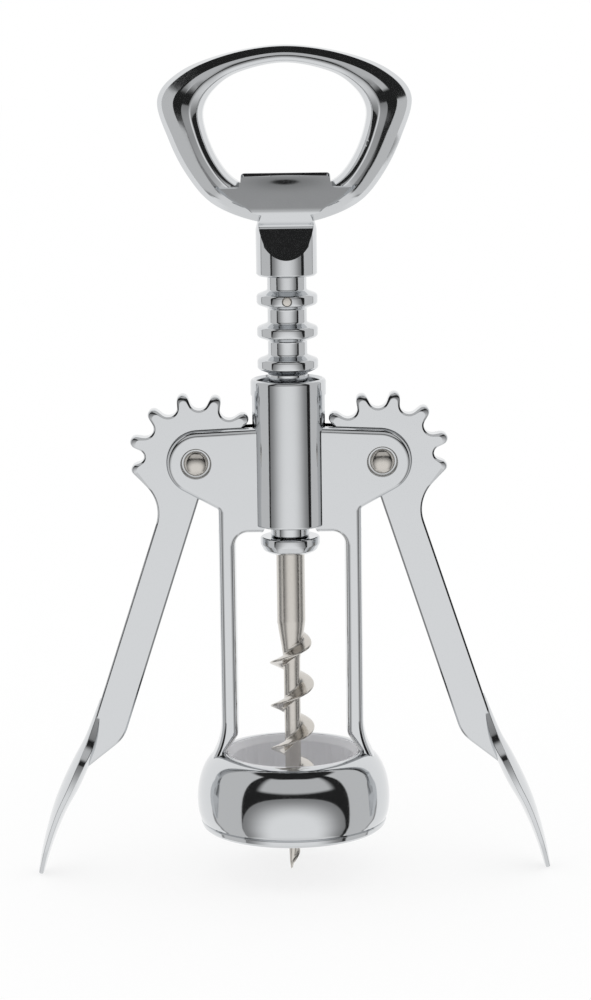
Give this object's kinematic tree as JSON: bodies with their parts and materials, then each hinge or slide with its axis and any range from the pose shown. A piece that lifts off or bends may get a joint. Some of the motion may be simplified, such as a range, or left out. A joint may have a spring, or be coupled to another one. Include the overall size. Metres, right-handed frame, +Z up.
{
  "type": "wing corkscrew",
  "caption": "Wing corkscrew with a ring handle, cap-lifter lip, worm on an annular rack, geared wing levers and a bell-mouthed frame that seats on a bottle.",
  "frame": {"origin": "centre of the bell's bottom rim, on the spindle axis", "axes": "+Z up along the worm towards the handle, X across the two levers (lever_left is on -X), +Y to the back, with the cap lifter's lip on the front"},
  "size_m": [0.1124, 0.042, 0.1797],
  "materials": {
    "plated_casting": "polished zinc die casting with bright chrome plate",
    "plated_rack": "turned and chrome plated",
    "nickel_steel": "nickel-plated steel, satin",
    "bush_plastic": "moulded plastic, fine satin"
  },
  "bodies": {
    "frame": {"frame_casting": "plated_casting", "bottle_bush": "bush_plastic", "pivot_rivet_left": "nickel_steel", "pivot_rivet_right": "nickel_steel"},
    "collar": {"thrust_collar": "plated_rack"},
    "spindle": {"opener_handle": "plated_casting", "ring_rack": "plated_rack", "rack_pin": "nickel_steel", "worm": "nickel_steel"},
    "lever_left": {"lever_left": "plated_casting"},
    "lever_right": {"lever_right": "plated_casting"}
  },
  "joints": [
    {"name": "lever_left_hinge", "type": "hinge", "parent": "frame", "child": "lever_left", "pos_m": [-0.01995, 0, 0.0809], "axis": [0, 1, 0], "range_deg": [-17, 125]},
    {"name": "lever_right_hinge", "type": "hinge", "parent": "frame", "child": "lever_right", "pos_m": [0.01995, 0, 0.0809], "axis": [0, -1, 0], "range_deg": [-17, 125]},
    {"name": "spindle_slide", "type": "slide", "parent": "frame", "child": "collar", "axis": [0, 0, 1], "range_m": [-0.0293, 0.004]},
    {"name": "spindle_spin", "type": "hinge", "parent": "collar", "child": "spindle", "pos_m": [0, 0, 0.0626], "axis": [0, 0, 1], "continuous": true}
  ],
  "couplings": [
    {"joint": "lever_right_hinge", "follows": "lever_left_hinge", "ratio": 1},
    {"joint": "spindle_slide", "follows": "lever_left_hinge", "m_per_rad": -0.013385}
  ]
}
